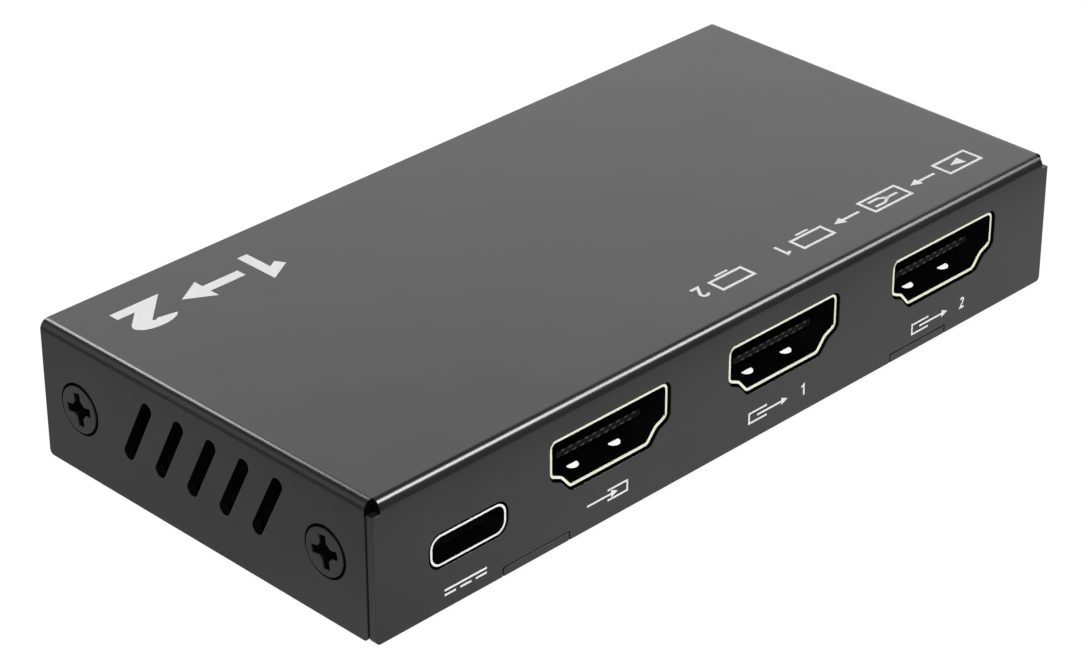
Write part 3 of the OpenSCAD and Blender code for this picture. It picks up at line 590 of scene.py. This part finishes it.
def signal_line():
    """A row of small signs: a player, an arrow, a splitting box, and two screens with their numbers."""
    thin, mid = 0.3, 1.25
    drawn, wanted = 37.8, 39.9

    def frame_shape(u, w):
        return stroke([(u, 0.12), (u + w, 0.12), (u + w, 2.38), (u, 2.38)], thin, closed=True)

    def screen(u):
        outline = stroke([(u, 0.62), (u + 4.0, 0.62), (u + 4.0, 2.38), (u, 2.38)], thin, closed=True)
        return outline + box_shape(u + 1.2, 0.0, u + 2.8, 0.24)

    shapes = frame_shape(0.12, 4.4) + [[(1.7, 0.65), (3.3, mid), (1.7, 1.85)]]
    shapes += arrow(5.6, 9.0, mid, thin, 1.1, 1.2)
    shapes += frame_shape(10.1, 5.0) + stroke([(10.9, mid), (12.2, mid), (13.1, 1.75), (14.4, 1.75)], thin)
    shapes += stroke([(12.2, mid), (13.1, 0.75), (14.4, 0.75)], thin)
    shapes += arrow(16.2, 19.6, mid, thin, 1.1, 1.2)
    for u, number in ((20.8, 1), (31.4, 2)):
        shapes += screen(u)
        shapes += [[(p[0], p[1] + 0.3) for p in quad] for quad in digit(number, u + 5.2, 1.9, thin)]
    return [[(p[0] * wanted / drawn, p[1]) for p in shape] for shape in shapes]


on_top("print_line", signal_line(), 39.8, -15.4)


# Studio

def softbox(name, toward, distance, width, height, radiance, along=(0, 0, 1), diffuse=True, glossy=True):
    """A soft lamp that looks at the object from one direction, as bright as radiance where it is seen.

    Its height runs along the given way. With diffuse off it shows in reflections only, and with glossy off it
    doesn't show in them.
    """
    light = bpy.data.lights.new(name, "AREA")
    light.shape = "RECTANGLE"
    light.size = width
    light.size_y = height
    light.energy = radiance * math.pi * width * height
    lamp = bpy.data.objects.new(name, light)
    back = Vector(toward).normalized()
    side = Vector(along).cross(back).normalized()
    turn = Matrix((side, back.cross(side), back)).transposed()
    lamp.matrix_world = Matrix.Translation(back * distance) @ turn.to_4x4()
    lamp.visible_camera = False
    lamp.visible_diffuse = diffuse
    lamp.visible_glossy = glossy
    scene.collection.objects.link(lamp)


# Broad lamps all round, and two strips that show only in reflections
X_AXIS = (1, 0, 0)
softbox("fill", (-0.6, -0.6, 0.53), 1.2, 1.0, 0.8, 6.0, glossy=False)
softbox("rear_right_panel", (0.64, 0.64, 0.42), 1.2, 1.2, 0.8, 1.6)
softbox("rear_left_panel", (-0.6, 0.73, 0.334), 1.2, 0.9, 0.71, 0.95)
softbox("front_left_panel", (-0.64, -0.64, 0.42), 1.2, 1.2, 0.8, 1.6)
softbox("front_panel", (-0.08, -0.93, 0.36), 1.2, 0.8, 0.7, 1.0)
softbox("front_right_panel", (0.68, -0.69, 0.25), 1.2, 0.7, 0.35, 0.22)
softbox("front_strip", (0.466, -0.399, 0.79), 1.0, 0.37, 0.57, 29.0, X_AXIS, diffuse=False)
softbox("left_strip", (0.126, 0.72, 0.682), 1.0, 0.22, 0.28, 17.0, X_AXIS, diffuse=False)


def studio_world():
    """A dim even room, white where the camera looks past the floor."""
    world = bpy.data.worlds.new("studio")
    world.use_nodes = True
    n = Nodes(world.node_tree)
    room = n.mix(n.node("ShaderNodeLightPath").outputs["Is Camera Ray"], (0.06, 0.06, 0.06), (1.0, 1.0, 1.0))
    n.link(room, world.node_tree.nodes["Background"].inputs["Color"])
    scene.world = world


def floor_glow(n):
    """The floor's own light: even to the camera, and in reflections cut short before and left of the part."""
    path = n.node("ShaderNodeLightPath").outputs
    place = n.split(n.node("ShaderNodeTexCoord").outputs["Object"])
    x, y = place["X"], place["Y"]
    outside = n.either(n.math("SUBTRACT", cover_lo.x, x), n.math("SUBTRACT", cover_lo.y, y))
    patch = n.span(outside, 14 * MM, 22 * MM, 1.0, 0.0)
    weaker_left = n.span(n.math("SUBTRACT", x, y), -45 * MM, 5 * MM, 0.42, 0.93)
    reflected = n.either(path["Is Glossy Ray"], path["Is Transmission Ray"])
    return n.either(path["Is Camera Ray"], n.both(reflected, patch, weaker_left))


def studio_floor():
    """A pale floor that takes the object's shadow."""
    reach, level = 4.0, -0.02 * MM
    corners = ((-reach, -reach), (reach, -reach), (reach, reach), (-reach, reach))
    mesh = bpy.data.meshes.new("floor")
    bm = bmesh.new()
    bm.faces.new([bm.verts.new((x, y, level)) for x, y in corners])
    bm.to_mesh(mesh)
    bm.free()
    floor = bpy.data.objects.new("floor", mesh)
    scene.collection.objects.link(floor)
    material = bpy.data.materials.new("floor")
    material.use_nodes = True
    n = Nodes(material.node_tree)
    n.tree.nodes.remove(n.tree.nodes["Principled BSDF"])
    glow = n.node("ShaderNodeEmission")
    glow.inputs["Color"].default_value = (0.86, 0.86, 0.86, 1)
    n.link(floor_glow(n), glow.inputs["Strength"])
    matt = n.node("ShaderNodeBsdfDiffuse")
    matt.inputs["Color"].default_value = (0.26, 0.26, 0.26, 1)
    surface = n.node("ShaderNodeAddShader")
    n.link(glow.outputs[0], surface.inputs[0])
    n.link(matt.outputs[0], surface.inputs[1])
    n.link(surface.outputs[0], n.tree.nodes["Material Output"].inputs["Surface"])
    mesh.materials.append(material)


studio_world()
studio_floor()


def photo_camera():
    """The photograph's view, worked out from the case's corners and the sockets."""
    data = bpy.data.cameras.new("photo_camera")
    data.sensor_fit = "HORIZONTAL"
    data.sensor_width = 36.0
    data.lens = 115.462
    data.shift_x = 0.02034
    data.shift_y = -0.01946
    data.clip_start = 0.01
    data.clip_end = 20.0
    camera = bpy.data.objects.new("photo_camera", data)
    ahead = Vector((0.61164, 0.62003, -0.49138)).normalized()
    right = Vector((0.70998, -0.7042, -0.00483))
    right = (right - ahead * right.dot(ahead)).normalized()
    turn = Matrix((right, right.cross(ahead), -ahead)).transposed()
    camera.matrix_world = Matrix.Translation(Vector((-205.72, -202.63, 169.3)) * MM) @ turn.to_4x4()
    scene.collection.objects.link(camera)
    scene.camera = camera


photo_camera()
scene.view_settings.view_transform = "Standard"
